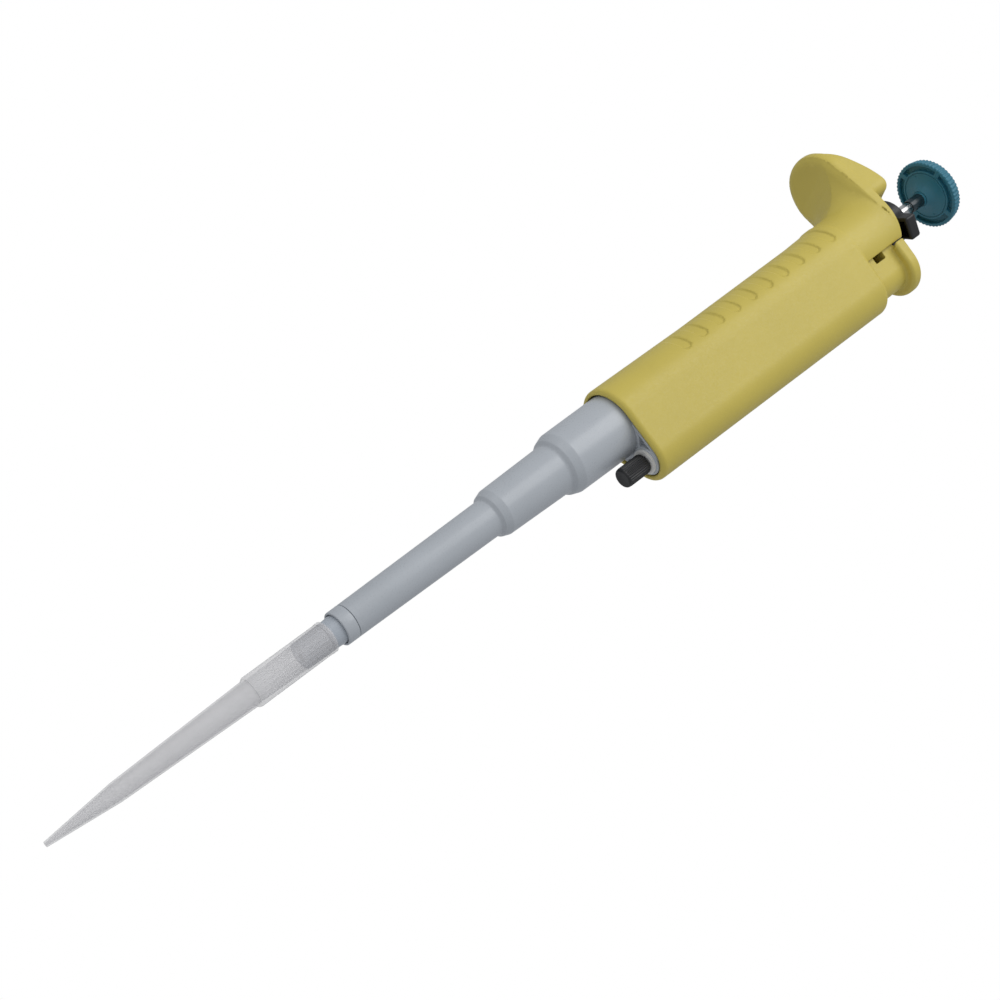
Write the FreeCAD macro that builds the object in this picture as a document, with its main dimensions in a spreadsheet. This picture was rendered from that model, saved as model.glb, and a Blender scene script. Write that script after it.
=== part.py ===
"""Adjustable air-displacement micropipette, one solid per real piece, in millimetres.

+Z runs up the main axis from the nozzle to the push button. The finger hook points to -X, the ejector
lies on +X, the printed flank faces -Y and the volume window faces +Y. The origin is the centre of the
nozzle's lower end, where a disposable tip is pushed on.
"""
import FreeCAD, Part
import math
import os
import re
import Sketcher

Vector = FreeCAD.Vector
UP = Vector(0, 0, 1)

SIZES = {
    # nozzle body: the cone that takes the tip, the long shank, the cylinder and the seal housing
    "nozzle_end_radius": 3.55, "nozzle_radius": 3.72, "nozzle_cone_top": 9.0, "nozzle_shank_radius": 3.95,
    "nozzle_bore_radius": 1.2, "cylinder_bottom": 66.5, "cylinder_full": 69.0, "cylinder_radius": 5.45,
    "cylinder_bore_radius": 4.7, "cylinder_floor": 72.0, "housing_bottom": 91.5, "housing_radius": 7.6,
    "housing_bore_radius": 6.6, "housing_floor": 93.5, "housing_top": 116.0,
    # seals, piston and plunger
    "piston_radius": 4.4, "piston_bottom": 80.0, "piston_top": 112.0, "fit_gap": 0.05,
    "seal_top": 96.6, "ring_radius": 1.05, "ring_centre": 98.0, "retainer_bottom": 99.6,
    "retainer_top": 104.0,
    "carrier_radius": 6.6, "carrier_bottom": 148.0, "carrier_top": 152.0, "carrier_stem_radius": 2.6,
    "rod_radius": 1.8, "rod_bottom": 149.0, "rod_top": 246.5, "collar_radius": 3.1, "collar_top": 165.8,
    # push button
    "button_radius": 10.4, "button_bottom": 248.5, "button_top": 252.0, "button_slot_inner": 7.9,
    "button_slot_outer": 9.5, "button_spoke_width": 1.6, "button_floor": 250.3, "cap_radius": 8.6,
    "hub_bottom": 240.0, "hub_radius": 2.05, "hub_cone_bottom": 244.6, "hub_cone_radius": 5.2,
    # volume setting
    "spindle_radius": 3.2, "spindle_bore_radius": 1.9, "spindle_bottom": 166.0,
    "spindle_top": 204.0, "drive_inner_radius": 3.3, "drive_radius": 4.6, "drum_bottom": 171.6,
    "drum_pitch": 6.2, "drum_height": 5.9, "drum_radius": 8.3, "drum_web": 1.6, "gear_height": 1.6,
    "pinion_distance": 9.3, "pinion_shaft_radius": 0.5, "pinion_azimuth": 45.0,
    # inner frame
    "frame_tube_inner": 7.1, "frame_tube_outer": 8.2, "frame_top": 168.0, "plate_radius": 9.9,
    "plate_thickness": 2.4, "counter_top": 191.0, "post_radius": 0.75, "post_distance": 9.35,
    "nut_radius": 6.0, "nut_top": 201.0, "guide_bottom": 148.0, "guide_top": 151.0, "guide_end": 16.8,
    "coupling_radius": 9.2, "coupling_bottom": 113.0, "coupling_top": 122.0,
    "blowout_plate_top": 146.3, "blowout_plate_bottom": 144.8, "blowout_plate_inner": 5.7,
    "blowout_plate_outer": 7.0,
    # handle: two circles, the second towards the ejector, joined by flat flanks
    "mouth_height": 108.35, "mouth_radius": 11.3, "mouth_small_radius": 7.4, "small_centre": 12.3,
    "shoulder_height": 204.5, "column_radius": 12.5, "shoulder_small_radius": 8.2, "wall": 1.8,
    "column_top": 222.8, "column_ceiling": 219.6, "slot_start": 7.2, "slot_half_width": 8.6,
    "window_width": 7.0, "window_bottom": 171.0, "window_top": 190.6,
    "hook_reach": 31.8, "hook_root": 7.6,
    # lock lever and top bush
    "bush_radius": 4.5, "bush_top": 229.0, "bush_bore_radius": 1.88, "lever_radius": 7.0,
    "lever_bottom": 223.1, "lever_top": 231.0, "arm_bottom": 225.6, "arm_length": 12.0, "arm_width": 6.4,
    "arm_azimuth": -45.0, "arm_wall": 1.0,
    # ejector
    "eject_axis": 13.4, "pad_bottom": 215.3, "pad_top": 220.4, "pad_start": 9.6,
    "pad_inset": 0.2, "stem_start": 7.8, "stem_gap": 0.5, "stem_bottom": 203.9,
    "eject_rod_radius": 1.5, "eject_rod_bottom": 112.0, "eject_rod_top": 208.0, "eject_collar": 186.0,
    "eject_collar_radius": 2.9, "ear_bottom": 108.6, "ear_top": 110.8, "ear_gap": 0.45,
    "ear_skirt": 112.6, "ear_skirt_wall": 1.0,
    "boss_radius": 4.3, "boss_bottom": 108.3, "knob_radius": 2.85, "knob_bottom": 99.9,
    "knob_top": 107.4, "washer_radius": 3.6, "stud_radius": 1.2, "washer_bottom": 107.6,
    # ejector sleeve: three tubes with rounded shoulders and an end ring
    "ring_end": 11.5, "ring_line": 15.1, "thin_end_radius": 4.72, "thin_top_radius": 5.22,
    "shoulder_low": 63.2, "shoulder_low_full": 65.5, "medium_end_radius": 6.75, "medium_top_radius": 7.2,
    "shoulder_high": 86.9, "shoulder_high_full": 89.5, "large_end_radius": 9.0, "large_top_radius": 9.2,
    "sleeve_top": 112.4, "sleeve_wall": 0.75, "sleeve_mouth_radius": 4.15,
    # disposable tip
    "tip_end": -73.4, "tip_end_radius": 0.7, "tip_bend": -54.4, "tip_bend_radius": 2.52,
    "tip_step": -15.3, "tip_step_radius": 3.6, "tip_body_radius": 4.1, "tip_rim_radius": 4.25,
    "tip_rim_bottom": 7.2, "tip_rim_top": 8.5, "tip_wall": 0.42, "tip_orifice_radius": 0.3,
}

doc = FreeCAD.newDocument("Micropipette")
sheet = doc.addObject("Spreadsheet::Sheet", "Sizes")
for row, (name, number) in enumerate(SIZES.items(), start=1):
    sheet.set(f"A{row}", name)
    sheet.set(f"B{row}", str(number))
    sheet.setAlias(f"B{row}", name)
doc.recompute()
PIECES = []
STATIONS_PER_TURN = 12


def bound(text):
    """Turn an expression of plain size names into one that reads the sheet."""
    return re.sub(r"\b[a-z][a-z_]+\b", lambda word: "Sizes." + word.group(), text)


def size(text):
    """The number that an expression of size names has now."""
    return float(sheet.evalExpression(bound(text)))


def origin_plane(body, role):
    """The origin plane of a body that has the given role."""
    return next(item for item in body.Origin.OriginFeatures if item.Role == role)


def piece(obj, label):
    """Give an object its own name and list it for export."""
    obj.Label = label
    PIECES.append(obj)
    return obj


def closed_sketch(body, role, points):
    """A closed polygon whose corners are bound to expressions of the sheet."""
    sketch = body.newObject("Sketcher::SketchObject", body.Name + "_sketch")
    sketch.AttachmentSupport = [(origin_plane(body, role), "")]
    sketch.MapMode = "FlatFace"
    corners = [(size(across), size(along)) for across, along in points]
    count = len(corners)
    for index, (start, end) in enumerate(zip(corners, corners[1:] + corners[:1])):
        sketch.addGeometry(Part.LineSegment(Vector(*start, 0), Vector(*end, 0)))
    for index in range(count):
        sketch.addConstraint(Sketcher.Constraint("Coincident", index, 2, (index + 1) % count, 1))
    for index, (corner, texts) in enumerate(zip(corners, points)):
        for kind, number, text in zip(("DistanceX", "DistanceY"), corner, texts):
            place = sketch.addConstraint(Sketcher.Constraint(kind, -1, 1, index, 1, number))
            sketch.setExpression(f"Constraints[{place}]", bound(text))
    return sketch


def turned(label, points, across="0"):
    """A piece turned about the vertical line at the given distance from the main axis.

    points are the corners of half its section, each a radius and a height.
    """
    body = piece(doc.addObject("PartDesign::Body", label), label)
    sketch = closed_sketch(body, "XZ_Plane", points)
    revolution = body.newObject("PartDesign::Revolution", label + "_turn")
    revolution.Profile = sketch
    revolution.ReferenceAxis = (sketch, ["V_Axis"])
    revolution.Angle = 360
    body.setExpression("Placement.Base.x", bound(across))
    return body


def tube(label, outer, inner, bottom, top, across="0"):
    """A plain round tube, or a rod when inner is 0."""
    return turned(label, [(inner, bottom), (outer, bottom), (outer, top), (inner, top)], across)


def shaped(label, shape, place=(0, 0, 0)):
    """A piece whose shape is built with the shape functions from sizes read off the sheet."""
    feature = piece(doc.addObject("Part::Feature", label), label)
    feature.Shape = shape
    feature.Placement = FreeCAD.Placement(Vector(*place), FreeCAD.Rotation())
    return feature


def cylinder(radius, bottom, top, x=0.0, y=0.0):
    """A vertical cylinder between two heights."""
    return Part.makeCylinder(radius, top - bottom, Vector(x, y, bottom), UP)


def block(low, high):
    """A box between two corners."""
    low, high = Vector(*low), Vector(*high)
    edges = high - low
    return Part.makeBox(edges.x, edges.y, edges.z, low)


def polygon_prism(points, bottom, height):
    """A straight prism over a closed outline given as x and y pairs."""
    corners = [Vector(x, y, bottom) for x, y in points]
    face = Part.Face(Part.makePolygon(corners + corners[:1]))
    return face.extrude(Vector(0, 0, height))


def teardrop(big, small, centre, height):
    """The outline round a circle on the axis and a smaller circle beside it, joined by tangents."""
    lean = math.acos((big - small) / abs(centre))
    side = math.copysign(1.0, centre)
    touch = Vector(side * math.cos(lean), math.sin(lean), 0)
    mirror = Vector(touch.x, -touch.y, 0)
    base = Vector(0, 0, height)
    far = Vector(centre, 0, height)
    tip = far + Vector(side * small, 0, 0)
    back = base - Vector(side * big, 0, 0)
    edges = [
        Part.Arc(base + touch * big, back, base + mirror * big).toShape(),
        Part.makeLine(base + mirror * big, far + mirror * small),
        Part.Arc(far + mirror * small, tip, far + touch * small).toShape(),
        Part.makeLine(far + touch * small, base + touch * big),
    ]
    return Part.Wire(edges)


def handle_loft(inset, bottom, top):
    """The handle's tapering teardrop body, drawn in by inset on every side."""
    mouth = size("mouth_height")
    share = 1.0 / (size("shoulder_height") - mouth)
    wires = []
    for height in (bottom, top):
        part = (height - mouth) * share
        big = size("mouth_radius") + part * size("column_radius - mouth_radius") - inset
        small = size("mouth_small_radius") + part * size("shoulder_small_radius - mouth_small_radius") - inset
        wires.append(teardrop(big, small, size("small_centre"), height))
    return Part.makeLoft(wires, True, True)


def coil_spring(label, radius, wire, bottom, top, turns, x=0.0):
    """A compression spring as one plain helix, its wire an eight-sided bar."""
    rise = (top - bottom - wire) / (2 * math.pi * turns)
    sections = []
    for station in range(turns * STATIONS_PER_TURN + 1):
        angle = 2 * math.pi * station / STATIONS_PER_TURN
        outward = Vector(math.cos(angle), math.sin(angle), 0)
        along = Vector(-radius * math.sin(angle), radius * math.cos(angle), rise).normalize()
        across = along.cross(outward)
        centre = outward * radius + UP * (rise * angle)
        corners = [centre + (outward * math.cos(turn) + across * math.sin(turn)) * (wire / 2)
                   for turn in (math.pi * side / 4 for side in range(8))]
        sections.append(Part.makePolygon(corners + corners[:1]))
    return shaped(label, Part.makeLoft(sections, True, True), (x, 0, bottom + wire / 2))


# ---------------------------------------------------------------- nozzle, seals and tip
def make_nozzle_body():
    """The nozzle, its shank, the piston's cylinder and the seal housing, moulded as one piece."""
    turned("nozzle_body", [
        ("nozzle_bore_radius", "0"), ("nozzle_end_radius", "0"), ("nozzle_radius", "nozzle_cone_top"),
        ("nozzle_shank_radius", "nozzle_cone_top + 3"), ("nozzle_shank_radius", "cylinder_bottom"),
        ("cylinder_radius", "cylinder_full"), ("cylinder_radius", "housing_bottom"),
        ("housing_radius", "housing_bottom"), ("housing_radius", "housing_top"),
        ("housing_bore_radius", "housing_top"), ("housing_bore_radius", "housing_floor"),
        ("cylinder_bore_radius", "housing_floor"), ("cylinder_bore_radius", "cylinder_floor"),
        ("nozzle_bore_radius", "cylinder_floor - 2")])


def make_seals():
    """The sliding seal, the ring behind it and the retainer that the main spring stands on."""
    tube("piston_seal", "housing_bore_radius", "piston_radius + fit_gap", "housing_floor", "seal_top")
    ring = Part.makeTorus(size("ring_radius + piston_radius + fit_gap"), size("ring_radius"),
                          Vector(0, 0, size("ring_centre")), UP)
    shaped("seal_o_ring", ring)
    turned("seal_retainer", [
        ("piston_radius + 0.2", "retainer_bottom"), ("housing_bore_radius", "retainer_bottom"),
        ("housing_bore_radius", "retainer_top"), ("piston_radius + 0.2", "retainer_top")])


def make_tip():
    """The disposable tip: a rim collar, a long body with a step, and a fine end."""
    turned("pipette_tip", [
        ("tip_orifice_radius", "tip_end"), ("tip_end_radius", "tip_end"), ("tip_bend_radius", "tip_bend"),
        ("tip_step_radius", "tip_step"), ("tip_body_radius", "tip_step"),
        ("tip_body_radius", "tip_rim_bottom"), ("tip_rim_radius", "tip_rim_bottom"),
        ("tip_rim_radius", "tip_rim_top"),
        ("nozzle_radius + 0.06", "tip_rim_top"), ("nozzle_end_radius + 0.06", "0"),
        ("nozzle_end_radius - 0.1", "-1"), ("tip_step_radius - tip_wall", "tip_step"),
        ("tip_bend_radius - tip_wall", "tip_bend")])


# ---------------------------------------------------------------- plunger
def make_plunger():
    """The piston, the carrier that the main spring lifts, and the long push rod with its collar."""
    tube("piston", "piston_radius", "0", "piston_bottom", "piston_top")
    turned("piston_carrier", [
        ("0", "piston_top"), ("carrier_stem_radius", "piston_top"), ("carrier_stem_radius", "carrier_bottom"),
        ("carrier_radius", "carrier_bottom"), ("carrier_radius", "carrier_top"),
        ("rod_radius", "carrier_top"), ("rod_radius", "rod_bottom"), ("0", "rod_bottom")])
    turned("push_rod", [
        ("0", "rod_bottom"), ("rod_radius", "rod_bottom"), ("rod_radius", "collar_top - 5"),
        ("collar_radius", "collar_top - 5"), ("collar_radius", "collar_top"), ("rod_radius", "collar_top"),
        ("rod_radius", "rod_top"), ("0", "rod_top")])


def make_button():
    """The push button: a rimmed disc on a cone and socket, with four arc slots between its spokes."""
    disc = turned("push_button", [
        ("rod_radius", "hub_bottom"), ("hub_radius", "hub_bottom"), ("hub_radius", "hub_cone_bottom"),
        ("hub_cone_radius", "button_bottom"), ("button_radius - 0.5", "button_bottom"),
        ("button_radius", "button_bottom + 0.5"), ("button_radius", "button_top - 0.6"),
        ("button_radius - 0.6", "button_top"), ("cap_radius", "button_top"), ("cap_radius", "button_floor"),
        ("0", "button_floor"), ("0", "rod_top"), ("rod_radius", "rod_top")])
    quarter = closed_sketch(disc, "XY_Plane", [
        ("button_slot_inner", "button_spoke_width / 2"), ("button_slot_outer", "button_spoke_width / 2"),
        ("button_slot_outer * 0.72", "button_slot_outer * 0.694"),
        ("button_spoke_width / 2", "button_slot_outer"), ("button_spoke_width / 2", "button_slot_inner"),
        ("button_slot_inner * 0.72", "button_slot_inner * 0.694")])
    quarter.setExpression("AttachmentOffset.Base.z", bound("button_bottom"))
    slot = disc.newObject("PartDesign::Pocket", "button_slot")
    slot.Profile = quarter
    slot.Reversed = True
    slot.setExpression("Length", bound("button_floor - button_bottom - 0.9"))
    slots = disc.newObject("PartDesign::PolarPattern", "button_slots")
    slots.Originals = [slot]
    slots.Axis = (quarter, ["N_Axis"])
    slots.Angle = 360
    slots.Occurrences = 4
    disc.Tip = slots
    tube("button_cap", "cap_radius - 0.05", "0", "button_floor", "button_top - 0.2")


# ---------------------------------------------------------------- volume setting
def toothed_outline(teeth, pitch_radius, module, phase):
    """The outline of a small gear with plain slanted teeth, thinned so that a pair runs freely."""
    step = 2 * math.pi / teeth
    root = pitch_radius - 1.15 * module
    crown = pitch_radius + 0.8 * module
    outline = []
    for tooth in range(teeth):
        middle = phase + tooth * step
        for radius, share in ((root, -0.33), (crown, -0.12), (crown, 0.12), (root, 0.33)):
            angle = middle + share * step
            outline.append((radius * math.cos(angle), radius * math.sin(angle)))
    return outline


DRUM_NAMES = ("number_drum_tens", "number_drum_hundreds", "number_drum_thousands")
DRUM_TEETH = 40
PINION_TEETH = 7


def make_counter():
    """The number drums on the drive sleeve, and the carry pinions between neighbouring drums."""
    tube("drive_sleeve", "drive_radius", "drive_inner_radius", "drum_bottom - 0.9", "counter_top - 0.3")
    module = 2 * size("pinion_distance") / (DRUM_TEETH + PINION_TEETH)
    azimuth = math.radians(size("pinion_azimuth"))
    centre = Vector(math.cos(azimuth), math.sin(azimuth), 0) * size("pinion_distance")
    for index, name in enumerate(DRUM_NAMES):
        bottom = size("drum_bottom") + index * size("drum_pitch")
        top = bottom + size("drum_height")
        bore = size("drive_radius") + (size("fit_gap") if index else 0.0)
        shape = cylinder(size("drum_radius"), bottom + (size("gear_height + 0.4") if index else 0.0), top)
        if index:
            outline = toothed_outline(DRUM_TEETH, module * DRUM_TEETH / 2, module, azimuth)
            gear = polygon_prism(outline, bottom, size("gear_height"))
            neck = cylinder(size("drive_radius + drum_web"), bottom, top)
            shape = shape.fuse([gear, neck])
        hollow = cylinder(size("drum_radius") - 0.9, bottom + size("gear_height + 1.6"), top - 0.01)
        hollow = hollow.cut(cylinder(size("drive_radius + drum_web"), bottom, top))
        shape = shape.cut(hollow).cut(cylinder(bore, bottom - 1, top + 1))
        shaped(name, shape.removeSplitter())
    for index in (1, 2):
        bottom = size("drum_bottom") + index * size("drum_pitch")
        phase = azimuth + math.pi + math.pi / PINION_TEETH
        outline = toothed_outline(PINION_TEETH, module * PINION_TEETH / 2, module, phase)
        wheel = polygon_prism(outline, bottom + 0.1, size("gear_height") - 0.2)
        wheel.translate(centre)
        bore = cylinder(size("pinion_shaft_radius + fit_gap"), bottom - 1, bottom + 3, centre.x, centre.y)
        shaped(f"carry_pinion_{index}", wheel.cut(bore))
    shaft = cylinder(size("pinion_shaft_radius"), size("frame_top + plate_thickness"), size("counter_top"),
                     centre.x, centre.y)
    shaped("pinion_shaft", shaft)


def make_volume_screw():
    """The threaded volume spindle and the fixed nut that lifts it as it turns."""
    tube("volume_spindle", "spindle_radius", "spindle_bore_radius", "spindle_bottom", "spindle_top")
    turned("volume_nut", [
        ("spindle_radius + fit_gap", "counter_top + plate_thickness"),
        ("nut_radius", "counter_top + plate_thickness"), ("nut_radius", "nut_top"),
        ("spindle_radius + fit_gap", "nut_top")])


# ---------------------------------------------------------------- inner frame
def make_frame():
    """The tube that carries everything inside, its rod guide, and the cage of the counter."""
    inner = size("frame_tube_inner")
    outer = size("frame_tube_outer")
    guide = block((0, -3.2, size("guide_bottom")), (size("guide_end"), 3.2, size("guide_top")))
    guide_hole = cylinder(size("eject_rod_radius + fit_gap"), size("guide_bottom") - 1, size("guide_top") + 1,
                          size("eject_axis"))
    tube_shape = cylinder(outer, size("housing_top"), size("frame_top")).fuse(guide)
    bore = cylinder(inner, size("housing_top") - 1, size("frame_top") + 1)
    shaped("inner_frame", tube_shape.cut(bore).cut(guide_hole).removeSplitter())
    low = size("frame_top")
    lower_plate = cylinder(size("plate_radius"), low, low + size("plate_thickness"))
    upper_plate = cylinder(size("plate_radius"), size("counter_top"), size("counter_top + plate_thickness"))
    cage = lower_plate.fuse(upper_plate)
    for azimuth in (135, 225, 315):
        angle = math.radians(azimuth)
        distance = size("post_distance")
        cage = cage.fuse(cylinder(size("post_radius"), low, size("counter_top") + 1,
                                  distance * math.cos(angle), distance * math.sin(angle)))
    cage = cage.cut(cylinder(size("spindle_radius") + 0.2, low - 1, size("counter_top") + 9))
    shaped("counter_cage", cage.removeSplitter())
    turned("coupling_nut", [
        ("housing_radius + fit_gap", "coupling_bottom"), ("coupling_radius", "coupling_bottom"),
        ("coupling_radius", "coupling_top"), ("frame_tube_outer", "coupling_top"),
        ("frame_tube_outer", "housing_top"), ("housing_radius + fit_gap", "housing_top")])
    tube("blowout_plate", "blowout_plate_outer", "blowout_plate_inner", "blowout_plate_bottom",
         "blowout_plate_top")


def make_springs():
    """The three springs, each between its two seats."""
    coil_spring("main_spring", 5.1, 0.8, size("retainer_top"), size("carrier_bottom"), 10)
    coil_spring("blowout_spring", 6.1, 0.8, size("retainer_top") + 0.1, size("blowout_plate_bottom"), 8)
    coil_spring("ejector_spring", 2.25, 0.6, size("guide_top"), size("eject_collar"), 9, size("eject_axis"))


# ---------------------------------------------------------------- handle, bush and lever
def hook_solid():
    """The finger hook: a side profile with curved top and underside, rounded off in plan."""
    root = -size("hook_root")
    reach = -size("hook_reach")
    top = size("column_top")
    upper = Part.BSplineCurve()
    upper.interpolate([Vector(root - 1.3, 0, top + 7.9), Vector(-13, 0, top + 7.6), Vector(-20, 0, top + 5.9),
                       Vector(reach + 1.2, 0, top + 0.6)])
    lower = Part.BSplineCurve()
    lower.interpolate([Vector(reach + 1.2, 0, top - 3.0), Vector(-24, 0, top - 3.2),
                       Vector(-17, 0, top - 6.5), Vector(-size("column_radius") + 0.3, 0, top - 15.5)])
    points = [lower.EndPoint, Vector(root, 0, top - 15.5), Vector(root, 0, top + 6.3), upper.StartPoint]
    edges = [upper.toShape(),
             Part.Arc(upper.EndPoint, Vector(reach, 0, top - 1.2), lower.StartPoint).toShape(),
             lower.toShape()]
    edges += [Part.makeLine(start, end) for start, end in zip(points, points[1:])]
    half = size("column_radius")
    profile = Part.Face(Part.Wire(edges))
    profile.translate(Vector(0, -half - 1, 0))
    slab = profile.extrude(Vector(0, 2 * half + 2, 0))
    centre = half - size("hook_reach")
    plan = cylinder(half, top - 20, top + 12, centre).fuse(cylinder(half, top - 20, top + 12))
    plan = plan.fuse(block((centre, -half, top - 20), (0, half, top + 12)))
    return slab.common(plan)


def make_handle():
    """The handle shell, open at its mouth, with the hook, the ejector's slot and the window."""
    wall = size("wall")
    top = size("column_top")
    shoulder = size("shoulder_height")
    shell = handle_loft(0.0, size("mouth_height"), shoulder)
    shell = shell.fuse([cylinder(size("column_radius"), shoulder - 5, top), hook_solid()])
    cavity = handle_loft(wall, size("mouth_height") - 1, shoulder - wall - 0.2)
    cavity = cavity.fuse(cylinder(size("column_radius") - wall, shoulder - 6, size("column_ceiling")))
    slot_half = size("slot_half_width")
    ejector_slot = block((size("slot_start"), -slot_half, shoulder), (30, slot_half, top + 1))
    stem_slot = handle_loft(wall + 0.2, shoulder - 6, shoulder + 1)
    stem_slot = stem_slot.common(block((size("slot_start"), -20, shoulder - 7), (30, 20, shoulder + 2)))
    half_window = size("window_width") / 2
    window = block((-half_window, 5, size("window_bottom")), (half_window, 20, size("window_top")))
    bush_hole = cylinder(size("bush_radius"), shoulder, top + 1)
    shaped("handle_shell", shell.cut([cavity, ejector_slot, stem_slot, window, bush_hole]).removeSplitter())


def make_window():
    """The clear lens over the number drums, a slice of the handle's own curve."""
    gap = 0.1
    half_window = size("window_width") / 2 - gap
    slab = block((-half_window, 5, size("window_bottom") + gap), (half_window, 20, size("window_top") - gap))
    low = size("window_bottom") - 1
    high = size("window_top") + 1
    skin = handle_loft(0.25, low, high).cut(handle_loft(size("wall"), low - 1, high + 1))
    shaped("display_window", skin.common(slab))


def make_lever():
    """The fixed top bush, and the lock lever: a cap round it with one hollow arm."""
    tube("top_bush", "bush_radius", "bush_bore_radius", "column_ceiling - 0.6", "bush_top")
    top = size("lever_top")
    cap = cylinder(size("lever_radius"), size("lever_bottom"), top)
    half = size("arm_width") / 2
    wall = size("arm_wall")
    arm = block((0, -half, size("arm_bottom")), (size("arm_length"), half, top))
    hollow = block((size("lever_radius"), wall - half, size("arm_bottom") - 1),
                   (size("arm_length") - wall, half - wall, top - wall))
    arm = arm.cut(hollow)
    arm.rotate(Vector(), UP, size("arm_azimuth"))
    bore = cylinder(size("bush_radius + fit_gap"), size("lever_bottom") - 1, size("bush_top") + 0.2)
    rod_hole = cylinder(size("rod_radius") + 0.3, size("lever_bottom"), top + 1)
    shaped("lock_lever", cap.fuse(arm).cut([bore, rod_hole]).removeSplitter())


# ---------------------------------------------------------------- ejector
def make_ejector_button():
    """The thumb pad on its stem, with a socket for the ejector rod."""
    pad = handle_loft(size("pad_inset"), size("pad_bottom"), size("pad_top"))
    pad = pad.common(block((size("pad_start"), -20, size("pad_bottom")), (30, 20, size("pad_top"))))
    stem = handle_loft(size("wall + stem_gap"), size("stem_bottom"), size("pad_bottom") + 1)
    stem = stem.common(block((size("stem_start"), -20, size("stem_bottom")), (30, 20, size("pad_top"))))
    socket = cylinder(size("eject_rod_radius"), size("stem_bottom") - 1, size("eject_rod_top"),
                      size("eject_axis"))
    shaped("ejector_button", pad.fuse(stem).cut(socket).removeSplitter())


def make_ejector_linkage():
    """The rod from the button to the sleeve's ear, the thumb knob below it and their washer."""
    turned("ejector_rod", [
        ("0", "eject_rod_bottom"), ("eject_rod_radius", "eject_rod_bottom"),
        ("eject_rod_radius", "eject_collar"), ("eject_collar_radius", "eject_collar"),
        ("eject_collar_radius", "eject_collar + 2"), ("eject_rod_radius", "eject_collar + 2"),
        ("eject_rod_radius", "eject_rod_top"), ("0", "eject_rod_top")], "eject_axis")
    turned("thumb_knob", [
        ("0", "knob_bottom"), ("knob_radius - 0.7", "knob_bottom"), ("knob_radius", "knob_bottom + 0.7"),
        ("knob_radius", "knob_top"), ("stud_radius", "knob_top"), ("stud_radius", "eject_rod_bottom - 0.2"),
        ("0", "eject_rod_bottom - 0.2")], "eject_axis")
    tube("knob_washer", "washer_radius", "stud_radius + 0.1", "washer_bottom", "boss_bottom", "eject_axis")


def make_ejector_sleeve():
    """The stepped sleeve over the nozzle, with an ear that closes the handle's mouth."""
    profile = [
        ("sleeve_mouth_radius", "ring_line"), ("thin_end_radius", "ring_line"),
        ("thin_top_radius", "shoulder_low"), ("medium_end_radius", "shoulder_low_full"),
        ("medium_top_radius", "shoulder_high"), ("large_end_radius", "shoulder_high_full"),
        ("large_top_radius", "mouth_height"), ("large_top_radius", "sleeve_top"),
        ("large_top_radius - sleeve_wall - 0.2", "sleeve_top"),
        ("large_end_radius - sleeve_wall - 0.2", "shoulder_high_full + 1"),
        ("medium_top_radius - sleeve_wall", "shoulder_high + 1"),
        ("medium_end_radius - sleeve_wall", "shoulder_low_full + 0.5"),
        ("thin_top_radius - sleeve_wall", "shoulder_low + 0.5")]
    corners = [Vector(size(radius), 0, size(height)) for radius, height in profile]
    section = Part.Face(Part.makePolygon(corners + corners[:1]))
    tube_shape = section.revolve(Vector(), UP, 360)
    bottom = size("ear_bottom")
    gap = size("wall + ear_gap")
    plate = handle_loft(gap, bottom, size("ear_top"))
    skirt = handle_loft(gap, bottom, size("ear_skirt"))
    skirt = skirt.cut(handle_loft(gap + size("ear_skirt_wall"), bottom - 1, size("ear_skirt") + 1))
    boss = cylinder(size("boss_radius"), size("boss_bottom"), size("ear_top") + 2, size("eject_axis"))
    ear = plate.fuse(skirt).fuse(boss)
    ear = ear.cut(cylinder(size("large_top_radius") - 0.3, bottom - 1, size("ear_skirt") + 1))
    rod_hole = cylinder(size("eject_rod_radius"), bottom - 1, size("ear_top") + 3, size("eject_axis"))
    shaped("ejector_sleeve", tube_shape.fuse(ear).cut(rod_hole).removeSplitter())
    tube("sleeve_end_ring", "thin_end_radius - 0.02", "sleeve_mouth_radius - 0.05", "ring_end", "ring_line")


def check_and_export():
    """Stop on any failed object, bad shape or piece in several lumps, then write one file per piece."""
    doc.recompute()
    failed = [item.Label for item in doc.Objects if {"Invalid", "Error"} & set(item.State)]
    failed += [item.Label for item in PIECES if item.Shape.isNull() or not item.Shape.isValid()]
    failed += [item.Label for item in PIECES if len(item.Shape.Solids) != 1]
    if failed:
        raise SystemExit("failed objects: " + ", ".join(failed))
    os.makedirs("parts", exist_ok=True)
    for item in PIECES:
        item.Shape.exportStep(f"parts/{item.Label}.step")
        print(f"{item.Label:24s} {item.Shape.Volume:10.1f} mm3  {len(item.Shape.Solids)} solid")


make_nozzle_body()
make_seals()
make_tip()
make_plunger()
make_button()
make_counter()
make_volume_screw()
make_frame()
make_springs()
make_handle()
make_window()
make_lever()
make_ejector_button()
make_ejector_linkage()
make_ejector_sleeve()
check_and_export()
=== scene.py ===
"""Looks of the adjustable micropipette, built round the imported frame.

Shapes are written in millimetres in the row frame (+Z up the main axis, -X the finger hook, +X the
ejector, -Y the plain flank, +Y the volume window) and become meshes in metres.
"""
import math

import bmesh
import bpy
import numpy as np
from mathutils import Matrix, Vector


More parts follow.
